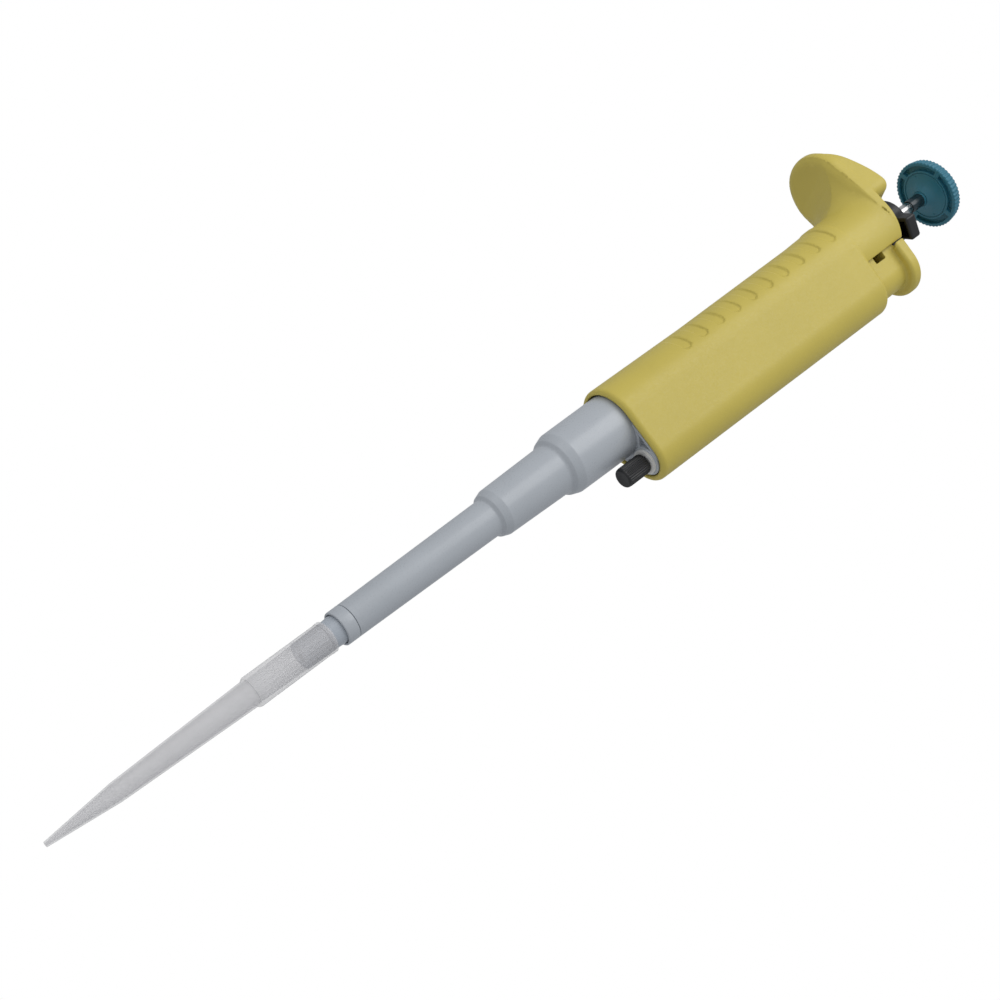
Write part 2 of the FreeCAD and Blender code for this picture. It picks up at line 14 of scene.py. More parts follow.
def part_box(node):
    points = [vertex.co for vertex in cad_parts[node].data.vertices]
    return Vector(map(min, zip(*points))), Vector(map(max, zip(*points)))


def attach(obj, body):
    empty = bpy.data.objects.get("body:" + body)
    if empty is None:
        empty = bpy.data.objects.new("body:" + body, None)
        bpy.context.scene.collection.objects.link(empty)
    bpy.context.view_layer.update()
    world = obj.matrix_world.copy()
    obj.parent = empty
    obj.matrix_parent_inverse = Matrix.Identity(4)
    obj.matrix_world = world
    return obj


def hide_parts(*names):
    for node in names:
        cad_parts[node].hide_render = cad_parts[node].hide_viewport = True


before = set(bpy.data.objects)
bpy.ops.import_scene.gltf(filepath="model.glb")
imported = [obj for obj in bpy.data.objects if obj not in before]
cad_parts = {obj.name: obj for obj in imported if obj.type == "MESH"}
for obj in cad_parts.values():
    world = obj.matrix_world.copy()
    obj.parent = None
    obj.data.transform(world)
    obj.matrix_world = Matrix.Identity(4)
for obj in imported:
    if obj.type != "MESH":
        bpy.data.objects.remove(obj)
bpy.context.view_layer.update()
MM = 0.001


def low_high(node):
    """A CAD node's lowest and highest corner in millimetres."""
    low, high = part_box(node)
    return [value / MM for value in low], [value / MM for value in high]


# ------------------------------------------------------------ fields: negative inside, in millimetres
def circle(x, y, radius, across=0.0):
    return np.hypot(x - across, y) - radius


def slab(value, low, high):
    return np.maximum(low - value, value - high)


def block(x, y, z, low, high, edge=0.0):
    """A box between two corners with rounded edges."""
    outside = 0.0
    deepest = -1e9
    for value, start, end in zip((x, y, z), low, high):
        distance = np.maximum(start - value, value - end) + edge
        outside = outside + np.maximum(distance, 0.0) ** 2
        deepest = np.maximum(deepest, distance)
    return np.sqrt(outside) + np.minimum(deepest, 0.0) - edge


def both(first, second, edge=0.0):
    """What two fields share, with a rounded edge where they meet."""
    edge = np.maximum(edge, 1e-6)
    out = np.hypot(np.maximum(first + edge, 0.0), np.maximum(second + edge, 0.0))
    return np.minimum(-edge, np.maximum(first, second)) + out


def either(first, second, fillet=0.0):
    """Two fields joined, with a fillet where they meet."""
    return -both(-first, -second, fillet)


def without(first, second, edge=0.0):
    """The first field with the second taken out."""
    return both(first, -second, edge)


def teardrop(x, y, big, small, centre):
    """The outline round a circle on the axis and a smaller circle beside it, joined by tangents."""
    lean = (big - small) / centre
    rise = np.sqrt(1.0 - lean * lean)
    side = np.abs(y)
    along = rise * x - lean * side
    straight = rise * side + lean * x - big
    near_small = np.hypot(x - centre, side) - small
    field = np.where(along < 0.0, np.hypot(x, side) - big, straight)
    return np.where(along > rise * centre, near_small, field)


def surface_mesh(name, field, low, high, step):
    """A mesh of the surface where the field is 0, pulled exactly onto it, with its true normals."""
    axes = [np.arange(start - step, end + 2 * step, step) for start, end in zip(low, high)]
    x, y, z = np.meshgrid(*axes, indexing="ij")
    values = field(x, y, z)
    inside = values < 0.0
    shape = np.array(inside.shape) - 1
    total = np.zeros((*shape, 3))
    crossings = np.zeros(tuple(shape))
    index = np.stack(np.meshgrid(*[np.arange(n) for n in shape], indexing="ij"), axis=-1).astype(float)

    def corner(array, offset):
        return array[tuple(slice(o, o + n) for o, n in zip(offset, shape))]

    for axis in range(3):
        others = [item for item in range(3) if item != axis]
        for first in (0, 1):
            for second in (0, 1):
                start = [0, 0, 0]
                start[others[0]], start[others[1]] = first, second
                end = list(start)
                end[axis] = 1
                value_start, value_end = corner(values, start), corner(values, end)
                crossed = (value_start < 0.0) != (value_end < 0.0)
                drop = np.where(crossed, value_start - value_end, 1.0)
                share = np.where(crossed, value_start / drop, 0.0)
                crossings += crossed
                for item in range(3):
                    total[..., item] += crossed * (start[item] + (share if item == axis else 0.0))
    mixed = crossings > 0
    number = -np.ones(tuple(shape), dtype=np.int64)
    number[mixed] = np.arange(mixed.sum())
    points = index[mixed] + total[mixed] / crossings[mixed][:, None]
    points = np.array([ax[0] for ax in axes]) + points * step
    quads = []
    for axis in range(3):
        second, third = (axis + 1) % 3, (axis + 2) % 3
        here = inside[tuple(slice(1, -1) if item != axis else slice(0, -1) for item in range(3))]
        there = inside[tuple(slice(1, -1) if item != axis else slice(1, None) for item in range(3))]

        def cells(back_second, back_third):
            cut = [slice(None)] * 3
            cut[second] = slice(0, -1) if back_second else slice(1, None)
            cut[third] = slice(0, -1) if back_third else slice(1, None)
            return number[tuple(cut)]

        ring = np.stack([cells(1, 1), cells(0, 1), cells(0, 0), cells(1, 0)], axis=-1)
        outward = here & ~there
        inward = there & ~here
        quads.append(ring[outward])
        quads.append(ring[inward][:, ::-1])
    faces = np.concatenate(quads)
    points, normals = settle(field, points, step)
    mesh = bpy.data.meshes.new(name)
    mesh.vertices.add(len(points))
    mesh.vertices.foreach_set("co", (points * MM).astype(np.float32).ravel())
    mesh.loops.add(faces.size)
    mesh.loops.foreach_set("vertex_index", faces.astype(np.int32).ravel())
    mesh.polygons.add(len(faces))
    mesh.polygons.foreach_set("loop_start", np.arange(0, faces.size, 4, dtype=np.int32))
    mesh.update(calc_edges=True)
    mesh.validate()
    mesh.polygons.foreach_set("use_smooth", np.ones(len(mesh.polygons), dtype=bool))
    mesh.normals_split_custom_set_from_vertices([tuple(normal) for normal in normals])
    return place(name, mesh)


def slope(field, points, reach=0.02):
    """The field's value and gradient at each point."""
    x, y, z = points.T
    parts = []
    for axis in range(3):
        shift = [reach if item == axis else 0.0 for item in range(3)]
        ahead = field(x + shift[0], y + shift[1], z + shift[2])
        behind = field(x - shift[0], y - shift[1], z - shift[2])
        parts.append((ahead - behind) / (2 * reach))
    return field(x, y, z), np.stack(parts, axis=-1)


def settle(field, points, step):
    """Move points along the gradient onto the surface and return their unit normals there."""
    for _ in range(3):
        value, gradient = slope(field, points)
        length = np.maximum((gradient ** 2).sum(axis=1), 0.05)
        move = np.clip(value / length, -0.6 * step, 0.6 * step)
        points = points - gradient * move[:, None]
    _, gradient = slope(field, points)
    normals = gradient / np.maximum(np.linalg.norm(gradient, axis=1), 1e-6)[:, None]
    return points, normals


def place(name, mesh):
    """Link a mesh as an object of that name."""
    piece = bpy.data.objects.new(name, mesh)
    bpy.context.scene.collection.objects.link(piece)
    return piece


def lathe(name, profile, segments=128, across=0.0, relief=None, sharp=32.0):
    """A turned piece from corners (radius, height, rounding) of a section that is closed or meets the axis.

    relief, if given, changes a radius from (radius, height, angle).
    """
    loop = rounded_loop(profile)
    on_axis = [radius < 1e-6 for radius, _ in loop]
    mesh = bmesh.new()
    columns = []
    for column in range(segments):
        angle = 2 * math.pi * column / segments
        verts = []
        for radius, height in loop:
            if relief and radius > 1e-6:
                radius = relief(radius, height, angle)
            verts.append(mesh.verts.new(((across + radius * math.cos(angle)) * MM,
                                         radius * math.sin(angle) * MM, height * MM)))
        columns.append(verts)
    count = len(loop)
    for column in range(segments):
        here, there = columns[column], columns[(column + 1) % segments]
        for item in range(count):
            after = (item + 1) % count
            if not (on_axis[item] and on_axis[after]):
                mesh.faces.new((here[item], there[item], there[after], here[after]))
    bmesh.ops.remove_doubles(mesh, verts=mesh.verts, dist=1e-7)
    bmesh.ops.dissolve_degenerate(mesh, edges=mesh.edges, dist=1e-8)
    bmesh.ops.recalc_face_normals(mesh, faces=mesh.faces)
    data = bpy.data.meshes.new(name)
    mesh.to_mesh(data)
    mesh.free()
    data.polygons.foreach_set("use_smooth", np.ones(len(data.polygons), dtype=bool))
    data.set_sharp_from_angle(angle=math.radians(sharp))
    return place(name, data)


def rounded_loop(profile, steps=5):
    """The corners of a closed outline, each replaced by an arc of its own radius."""
    loop = []
    count = len(profile)
    for index, (radius, height, rounding) in enumerate(profile):
        corner = Vector((radius, height))
        if rounding <= 0.0:
            loop.append((radius, height))
            continue
        before = Vector(profile[index - 1][:2]) - corner
        after = Vector(profile[(index + 1) % count][:2]) - corner
        half = before.angle(after) / 2
        reach = min(rounding / math.tan(half), before.length * 0.49, after.length * 0.49)
        rounding = reach * math.tan(half)
        inward = (before.normalized() + after.normalized()).normalized()
        middle = corner + inward * (rounding / math.sin(half))
        start = corner + before.normalized() * reach - middle
        end = corner + after.normalized() * reach - middle
        turn = start.angle_signed(end)
        for step in range(steps + 1):
            point = middle + Matrix.Rotation(-turn * step / steps, 2) @ start
            loop.append((point.x, point.y))
    return loop


def dress(piece, body, slot, material, *nodes):
    """Give a new piece its finish, its body and the CAD nodes it stands for; its slot is not used."""
    piece.data.materials.clear()
    piece.data.materials.append(material)
    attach(piece, body)
    if nodes:
        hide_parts(*nodes)
    return piece


# ------------------------------------------------------------ materials
def plastic(name, colour, roughness, grain=0.25, grain_scale=2600.0, mottle=0.05, bump=0.12, wear=0.25,
            **sockets):
    """A moulded or machined finish: fine grain in the bump and gloss, slow colour drift and rubbed edges."""
    material = bpy.data.materials.new(name)
    material.use_nodes = True
    nodes, links = material.node_tree.nodes, material.node_tree.links
    shader = nodes["Principled BSDF"]
    for socket, value in sockets.items():
        shader.inputs[socket.replace("_", " ")].default_value = value
    where = nodes.new("ShaderNodeTexCoord").outputs["Object"]

    def noise(scale, detail):
        node = nodes.new("ShaderNodeTexNoise")
        node.inputs["Scale"].default_value = scale
        node.inputs["Detail"].default_value = detail
        links.new(where, node.inputs["Vector"])
        return node.outputs["Fac"]

    def spread(source, low, high):
        node = nodes.new("ShaderNodeMapRange")
        node.inputs["From Min"].default_value = 0.3
        node.inputs["From Max"].default_value = 0.7
        node.inputs["To Min"].default_value = low
        node.inputs["To Max"].default_value = high
        links.new(source, node.inputs["Value"])
        return node.outputs["Result"]

    def mix(blend, factor, first, second):
        node = nodes.new("ShaderNodeMix")
        node.data_type = "RGBA"
        node.blend_type = blend
        for socket, value in zip((0, 6, 7), (factor, first, second)):
            if hasattr(value, "links"):
                links.new(value, node.inputs[socket])
            else:
                node.inputs[socket].default_value = value
        return node.outputs[2]

    slow = noise(60.0, 3.0)
    fine = noise(grain_scale, 2.0)
    dark = tuple(channel * (1.0 - 2.2 * mottle) for channel in colour) + (1.0,)
    light = tuple(min(1.0, channel * (1.0 + mottle)) for channel in colour) + (1.0,)
    base = mix("MIX", spread(slow, 0.0, 1.0), dark, light)
    edge = nodes.new("ShaderNodeMapRange")
    edge.inputs["From Min"].default_value = 0.52
    edge.inputs["From Max"].default_value = 0.66
    links.new(nodes.new("ShaderNodeNewGeometry").outputs["Pointiness"], edge.inputs["Value"])
    edge.inputs["To Max"].default_value = wear
    rubbed = tuple(min(1.0, channel * 1.12 + 0.03) for channel in colour) + (1.0,)
    links.new(mix("MIX", edge.outputs["Result"], base, rubbed), shader.inputs["Base Color"])
    gloss = spread(fine, roughness * (1.0 - grain), roughness * (1.0 + grain))
    links.new(gloss, shader.inputs["Roughness"])
    ripple = nodes.new("ShaderNodeBump")
    ripple.inputs["Strength"].default_value = bump
    ripple.inputs["Distance"].default_value = 0.00006
    links.new(fine, ripple.inputs["Height"])
    links.new(ripple.outputs["Normal"], shader.inputs["Normal"])
    return material


YELLOW = plastic("handle_yellow", (0.57, 0.46, 0.085), 0.5, mottle=0.02, bump=0.2, wear=0.35)
GREY = plastic("sleeve_grey", (0.43, 0.455, 0.485), 0.3, grain=0.15, mottle=0.015, bump=0.03, wear=0.1)
WHITE_NOZZLE = plastic("nozzle_grey", (0.42, 0.455, 0.50), 0.22, grain=0.15, mottle=0.02, bump=0.05)
CLEAR_TIP = plastic("tip_clear", (0.70, 0.69, 0.70), 0.3, grain=0.1, mottle=0.01, bump=0.0, wear=0.0,
                    Alpha=0.42)
TEAL = plastic("button_teal", (0.025, 0.165, 0.235), 0.45, mottle=0.04, bump=0.18)
TEAL_CAP = plastic("cap_teal", (0.045, 0.185, 0.235), 0.33, mottle=0.04, bump=0.12)
# The socket is teal plastic darkened almost to black: painted shade for the hub in the button's shadow.
SHADED_TEAL = plastic("socket_teal_painted_shade", (0.006, 0.022, 0.03), 0.22, mottle=0.05, bump=0.06)
BLACK = plastic("black_plastic", (0.008, 0.008, 0.009), 0.45, mottle=0.1, bump=0.2)
CHROME = plastic("rod_chrome", (0.62, 0.61, 0.60), 0.13, grain=0.3, grain_scale=900.0, bump=0.05,
                 Metallic=1.0)
STEEL = plastic("spring_steel", (0.42, 0.42, 0.44), 0.28, grain_scale=1500.0, Metallic=1.0)
BRASS = plastic("brass", (0.60, 0.42, 0.16), 0.27, grain_scale=1500.0, Metallic=1.0)
ALLOY = plastic("frame_alloy", (0.52, 0.53, 0.55), 0.34, grain_scale=1800.0, Metallic=1.0)
PISTON = plastic("piston_white", (0.74, 0.73, 0.70), 0.3, mottle=0.03)
DRUM = plastic("drum_white", (0.80, 0.80, 0.77), 0.5, mottle=0.03)
INK = plastic("drum_ink", (0.015, 0.015, 0.015), 0.55, mottle=0.1)
RUBBER = plastic("seal_rubber", (0.012, 0.012, 0.012), 0.6, mottle=0.15, bump=0.3)
WINDOW = plastic("window_clear", (0.90, 0.93, 0.94), 0.06, mottle=0.01, bump=0.02, wear=0.1,
                 Transmission_Weight=0.95, IOR=1.49)

CAD_FINISH = {
    "seal_o_ring": RUBBER, "display_window": WINDOW, "piston": PISTON, "piston_seal": PISTON,
    "knob_washer": PISTON, "inner_frame": ALLOY, "counter_cage": ALLOY, "top_bush": BLACK,
    "nozzle_body": WHITE_NOZZLE,
}
BRASS_NODES = ("volume_nut", "volume_spindle", "coupling_nut", "seal_retainer")
STEEL_NODES = ("main_spring", "blowout_spring", "ejector_spring", "pinion_shaft", "piston_carrier",
               "blowout_plate", "ejector_rod")
DRUM_NODES = ("number_drum_tens", "number_drum_hundreds", "number_drum_thousands", "drive_sleeve",
              "carry_pinion_1", "carry_pinion_2")
for material, names in ((BRASS, BRASS_NODES), (STEEL, STEEL_NODES), (DRUM, DRUM_NODES)):
    CAD_FINISH.update((name, material) for name in names)


def finish_cad_nodes():
    """Give every CAD node that stays in view its finish."""
    for name, material in CAD_FINISH.items():
        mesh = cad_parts[name].data
        mesh.materials.clear()
        mesh.materials.append(material)


# ------------------------------------------------------------ handle
HANDLE_LOW, HANDLE_HIGH = low_high("handle_shell")
MOUTH = HANDLE_LOW[2]
SHOULDER = MOUTH + 96.15
HALF_WIDTH = HANDLE_HIGH[1]
HOOK_END = -HANDLE_LOW[0]
SMALL_CENTRE = 12.3
COLUMN_TOP = 222.8
WALL = 1.8
MOUTH_RADIUS = HALF_WIDTH - 1.2
MOUTH_SMALL = 7.4
SMALL_GROWTH = 0.8
GROOVES = 10
FIRST_GROOVE = 139.1
GROOVE_PITCH = 6.89
GROOVE_WIDTH = 3.9
GROOVE_END = math.radians(86.0)
COLUMN = HALF_WIDTH - 0.1
RIM_HALF = HALF_WIDTH + 0.55
HOOK_RIM = 219.9
HOOK_CROWN = 231.3
HOOK_ROOT = 4.9


def handle_section(x, y, z, inset):
    """The handle's teardrop outline at each height, drawn in by inset."""
    share = np.clip((z - MOUTH) / (SHOULDER - MOUTH), -0.1, 1.15)
    big = np.minimum(MOUTH_RADIUS + 1.2 * share, HALF_WIDTH) - inset
    small = MOUTH_SMALL + SMALL_GROWTH * share - inset
    return teardrop(x, y, big, small, SMALL_CENTRE)


SHAVE_MOUTH, SHAVE_GAIN, SHAVE_FADE = 0.45, 0.6, 0.45
SHAVE_RISE_FROM, SHAVE_RISE_OVER = 110.0, 35.0
SHAVE_FADE_FROM, SHAVE_FADE_OVER = 192.0, 14.0


def shave(x, z):
    """How far the finger side is drawn in from a full round, most in the middle of the grip."""
    rise = np.clip((z - SHAVE_RISE_FROM) / SHAVE_RISE_OVER, 0.0, 1.0)
    fade = np.clip((z - SHAVE_FADE_FROM) / SHAVE_FADE_OVER, 0.0, 1.0)
    along = SHAVE_MOUTH + SHAVE_GAIN * rise - SHAVE_FADE * fade
    return along * np.clip(-x / 9.5, 0.0, 1.0) ** 1.5


def rim_outline(x, y):
    """Plan of the rim round the handle's top: a round hook end, drawn-in sides and a round front."""
    out = -x
    half = RIM_HALF - 0.7 * np.clip((out - 6.0) / 14.0, 0.0, 1.0)
    hook = np.hypot(np.maximum(out - (HOOK_END - RIM_HALF + 0.7), 0.0), y) - half
    front = np.hypot(x, y) - (RIM_HALF - 0.035 * np.maximum(x, 0.0))
    return np.where(x < 0.0, hook, front)


def overhang(x, y):
    """How far the rim reaches beyond the column in a point's own direction."""
    distance = np.maximum(np.hypot(x, y), 1e-6)
    out, side = np.maximum(-x, 0.0) / distance, np.abs(y) / distance
    to_side = RIM_HALF / np.maximum(side, 0.05)
    to_end = HOOK_END / np.maximum(out, 0.05)
    reach = (to_side ** -8.0 + to_end ** -8.0) ** (-1.0 / 8.0)
    return np.maximum(np.where(x < 0.0, reach, RIM_HALF) - COLUMN, 0.35)


def flare_field(x, y, z):
    """Solid above the flared underside of the rim, which sweeps up out of the column."""
    out = -x
    beyond = np.hypot(x, y) - COLUMN + shave(x, z)
    width = np.minimum(overhang(x, y) * 0.95, 16.5)
    tall = 7.5 + 4.5 * np.clip(out / 12.0, 0.0, 1.0)
    dish = 1.3 * np.clip(1.0 - (y / RIM_HALF) ** 2, 0.0, 1.0) * np.clip((out - 9.0) / 9.0, 0.0, 1.0)
    rim = HOOK_RIM + dish * np.clip((HOOK_END - 1.5 - out) / 8.0, 0.0, 1.0)
    inward = np.maximum(width - beyond, 0.0) / width
    upward = np.maximum(z - (rim - tall), 0.0) / tall
    ratio = np.hypot(inward, upward)
    length = ratio / np.maximum(np.hypot(inward / width, upward / tall), 1e-6)
    return (1.0 - ratio) * np.where(ratio < 1e-3, width, length)


def crown_line(x, y):
    """The hook's humped top."""
    out = -x
    return HOOK_CROWN - 0.0385 * np.maximum(out - 8.5, 0.0) ** 1.75 - 0.0025 * y * y


def hook_field(x, y, z):
    """The finger hook with its rim, a flared and dished underside and a recess for the lever."""
    out = -x
    plan = rim_outline(x, y)
    soft = 0.7 + 1.9 * np.clip((out - 2.0) / 18.0, 0.0, 1.0)
    raised = both(both(plan, z - crown_line(x, y), 2.2), HOOK_ROOT - out, 3.2)
    raised = without(raised, circle(x, y, 7.45), 0.5)
    low = both(plan, z - top_line(x), 0.8)
    whole = either(low, both(raised, 221.0 - z), 0.4)
    return both(both(whole, flare_field(x, y, z), soft), SHOULDER - z)


def top_line(x):
    """The height of the column's top, which falls towards the ejector."""
    return COLUMN_TOP - 0.17 * np.clip(x, -8.0, 12.0) - 0.03 * np.maximum(x - 5.0, 0.0) ** 2


def groove_field(x, y, z):
    """How deep a point lies inside a finger groove's outline, positive inside."""
    around = np.arctan2(np.abs(y), -x) * HALF_WIDTH
    end = GROOVE_END * HALF_WIDTH
    inside = np.full_like(z, -9.0)
    for groove in range(GROOVES):
        upper = FIRST_GROOVE + groove * GROOVE_PITCH + 0.012 * groove * (groove - 9)
        middle = upper - GROOVE_WIDTH / 2
        over = np.maximum(around - (end - GROOVE_WIDTH / 2), 0.0)
        inside = np.maximum(inside, GROOVE_WIDTH / 2 - np.hypot(over, z - middle))
    return inside


def groove_depth(x, y, z):
    """Depth of the grooves, eased in alike at the upper and lower edge and faded out towards the hook side."""
    inside = groove_field(x, y, z)
    lean = np.clip(inside / 0.7, 0.0, 1.0)
    turned = np.clip((np.arctan2(np.abs(y), -x) - 0.5) / 0.6, 0.0, 1.0)
    return 0.46 * lean * lean * (3.0 - 2.0 * lean) * turned


def handle_field(x, y, z):
    outer = both(handle_section(x, y, z, 0.0), slab(z, MOUTH, SHOULDER), 1.5)
    column = both(circle(x, y, COLUMN), slab(z, SHOULDER - 4.0, top_line(x)), 0.7)
    outer = either(outer, column, 0.2) + groove_depth(x, y, z) + shave(x, z)
    outer = either(outer, hook_field(x, y, z), 0.3)
    cavity = both(handle_section(x, y, z, WALL), slab(z, MOUTH - 3.0, SHOULDER - WALL - 0.2), 0.6)
    cavity = either(cavity, both(circle(x, y, HALF_WIDTH - WALL), slab(z, SHOULDER - 6.0, 219.4), 0.6))
    cavity = either(cavity, both(handle_section(x, y, z, WALL), both(7.2 - x, slab(z, 198.0, 240.0))))
    shell = without(outer, cavity, 0.45)
    shell = without(shell, block(x, y, z, (7.2, -8.6, SHOULDER + 0.2), (30.0, 8.6, 240.0)), 0.45)
    shell = without(shell, block(x, y, z, (-3.5, 5.0, 171.0), (3.5, 20.0, 190.6), 0.8), 0.3)
    return without(shell, np.maximum(circle(x, y, 4.5), slab(z, 205.0, 240.0)), 0.2)


def make_handle():
    step = 0.5
    low = (HANDLE_LOW[0] - 1.0, -HALF_WIDTH - 1.2, MOUTH - 1.0)
    high = (HANDLE_HIGH[0] + 1.0, HALF_WIDTH + 1.2, HANDLE_HIGH[2] + 1.5)
    handle = surface_mesh("handle", handle_field, low, high, step)
    dress(handle, "handle", "handle_yellow", YELLOW, "handle_shell")


# ------------------------------------------------------------ ejector
PAD_UNDER = 215.7


def ejector_button_field(x, y, z):
    """The thumb pad with rounded edges, filleted onto its stem."""
    low, high = low_high("ejector_button")
    plan = teardrop(x, y, HALF_WIDTH - 0.1, 8.5, SMALL_CENTRE + 0.15)
    pad = both(plan, 9.4 - x, 0.5)
    pad = both(pad, slab(z, PAD_UNDER, high[2] - 0.45 - 0.03 * (x - 10.0)), 1.2)
    stem = both(handle_section(x, y, np.full_like(z, SHOULDER), WALL + 0.5), 7.8 - x, 0.5)
    stem = both(stem, slab(z, low[2], 217.0), 0.4)
    notch = block(x, y, z, (7.0, -10.0, 207.9), (10.3, 10.0, 212.0), 0.2)
    return either(without(stem, notch, 0.2), pad, 0.8)


def make_ejector_button():
    low, high = low_high("ejector_button")
    step = 0.3
    low, high = [value - 0.8 for value in low], [value + 0.8 for value in high]
    button = surface_mesh("ejector_pad", ejector_button_field, low, high, step)
    dress(button, "ejector", "handle_yellow", YELLOW, "ejector_button")


def make_sleeve():
    """The stepped sleeve with rounded shoulders, its end ring, and the ear in the handle's mouth."""
    profile = [
        (4.15, 15.15, 0.1), (4.72, 15.15, 0.15), (5.2, 62.6, 0.7), (6.05, 63.4, 0.5), (6.72, 65.4, 1.1),
        (7.18, 86.4, 1.2), (8.2, 87.4, 0.8), (8.98, 89.8, 1.5), (9.15, 112.2, 0.2), (8.25, 112.2, 0.1),
        (8.05, 91.0, 0.4), (6.45, 88.2, 0.4), (5.95, 66.4, 0.4), (4.47, 63.8, 0.3)]
    sleeve = lathe("ejector_sleeve_tube", profile, 160)
    dress(sleeve, "ejector", "sleeve_grey", GREY, "ejector_sleeve")
    ring = lathe("ejector_end_ring", [(4.1, 11.5, 0.25), (4.7, 11.5, 0.3), (4.74, 15.0, 0.12),
                                      (4.1, 15.0, 0.05)], 160)
    dress(ring, "ejector", "sleeve_grey", GREY, "sleeve_end_ring")

    def ear_field(x, y, z):
        plug = both(handle_section(x, y, z, WALL + 0.45), slab(z, 108.6, 112.6), 0.35)
        dish = both(handle_section(x, y, z, WALL + 1.3), slab(z, 100.0, 110.0), 0.2)
        boss = both(circle(x, y, 4.3, 13.4), slab(z, 108.3, 112.4), 0.35)
        collar = both(circle(x, y, 10.1), slab(z, 108.6, 112.0), 0.3)
        collar = both(collar, handle_section(x, y, z, WALL + 0.5))
        plug = either(without(plug, dish, 0.2), either(boss, collar, 0.4))
        bore = np.minimum(circle(x, y, 9.0), circle(x, y, 1.5, 13.4))
        return without(plug, bore, 0.05)

    step = 0.25
    ear = surface_mesh("ejector_sleeve_ear", ear_field, (-10.0, -10.0, 107.8), (18.5, 10.0, 113.2), step)
    dress(ear, "ejector", "sleeve_grey", GREY, "ejector_sleeve")


def make_thumb_knob():
    """The fluted knob under the ear, with a dished end and a rounded edge."""
    low, high = low_high("thumb_knob")
    low[2] -= 0.8
    axis = (low[0] + high[0]) / 2
    top = 107.4

    def knob_field(x, y, z):
        angle = np.arctan2(y, x - axis)
        distance = np.hypot(x - axis, y)
        flutes = 0.11 * np.cos(26 * angle) * np.clip((z - low[2] - 0.3) / 0.8, 0.0, 1.0)
        body = both((distance - 2.76 - flutes) * 0.85, slab(z, low[2], top), 0.55)
        dish = np.hypot(distance, z - low[2] + 11.8) - 12.0
        stud = np.maximum(distance - 1.15, slab(z, top - 1.0, high[2]))
        return either(without(body, dish, 0.15), stud, 0.1)

    step = 0.11
    knob = surface_mesh("knob_body", knob_field, (axis - 3.1, -3.1, low[2] - 0.3),
                        (axis + 3.1, 3.1, high[2] + 0.3), step)
    dress(knob, "knob", "black_plastic", BLACK, "thumb_knob")


# ------------------------------------------------------------ push button, rod and lever
def make_push_button():
    """The button: a fluted rim, an underside with a ring, four arc slots and a coned hub, and its cap."""
    low, high = low_high("push_button")
    under, top, radius = 248.5, high[2], 10.4

    def button_field(x, y, z):
        angle = np.arctan2(y, x)
        distance = np.hypot(x, y)
        flutes = 0.13 * np.cos(52 * angle)
        taper = 0.22 - 0.16 * (z - under)
        disc = both((distance - radius - taper - flutes) * 0.8, slab(z, under, top - 0.1), 0.45)
        slots = np.maximum(slab(distance, 7.9, 9.5), slab(z, 240.0, under + 1.3))
        spokes = np.minimum(np.abs(x), np.abs(y)) - 0.8
        disc = without(disc, both(slots, -spokes, 0.2), 0.15)
        disc = without(disc, np.maximum(slab(distance, 7.05, 7.35), slab(z, 240.0, under + 0.25)), 0.1)
        disc = without(disc, np.maximum(distance - 8.6, 250.4 - z), 0.2)
        pins = np.minimum(np.hypot(x + 5.2, y + 3.3), np.hypot(x - 5.2, y - 3.3)) - 0.45
        disc = without(disc, np.maximum(pins, slab(z, 240.0, under + 0.15)), 0.05)
        cone = both(distance - 1.9 - 0.95 * np.maximum(z - 245.2, 0.0), slab(z, 244.2, 250.0), 0.5) * 0.75
        whole = without(either(disc, cone, 1.4), np.maximum(distance - 2.35, 243.0 - z), 0.25)
        return either(whole, np.maximum(distance - 2.3, slab(z, 245.2, 249.0)))

    step = 0.17
    button = surface_mesh("button_body", button_field, (-11.0, -11.0, 243.8), (11.0, 11.0, top + 0.4), step)
    dress(button, "plunger", "button_teal", TEAL, "push_button")
    # The socket under the hub takes the darkened teal: painted shade where the button shadows it.
    socket = lathe("button_socket", [(1.8, low[2], 0.05), (2.05, low[2], 0.15), (2.12, 245.6, 0),
                                     (1.8, 245.6, 0)], 96)
    dress(socket, "plunger", "button_teal", SHADED_TEAL)
    cap = lathe("button_top_cap", [(0.0, 250.4, 0), (8.5, 250.4, 0.1), (8.5, 251.9, 0.35),
                                   (7.6, 252.0, 0.3), (7.3, 251.75, 0.2), (0.0, 251.2, 0)], 128)
    dress(cap, "plunger", "button_teal", TEAL_CAP, "button_cap")


def make_rod():
    low, high = low_high("push_rod")
    radius, flange, flange_low, flange_high = 1.8, 3.1, 160.8, 165.8
    profile = [(0.0, low[2], 0), (radius, low[2], 0), (radius, flange_low, 0), (flange, flange_low, 0.2),
               (flange, flange_high, 0.2), (radius, flange_high, 0), (radius, high[2], 0.3), (0.0, high[2], 0)]
    rod = lathe("push_rod_polished", profile, 96)
    dress(rod, "plunger", "rod_chrome", CHROME, "push_rod")


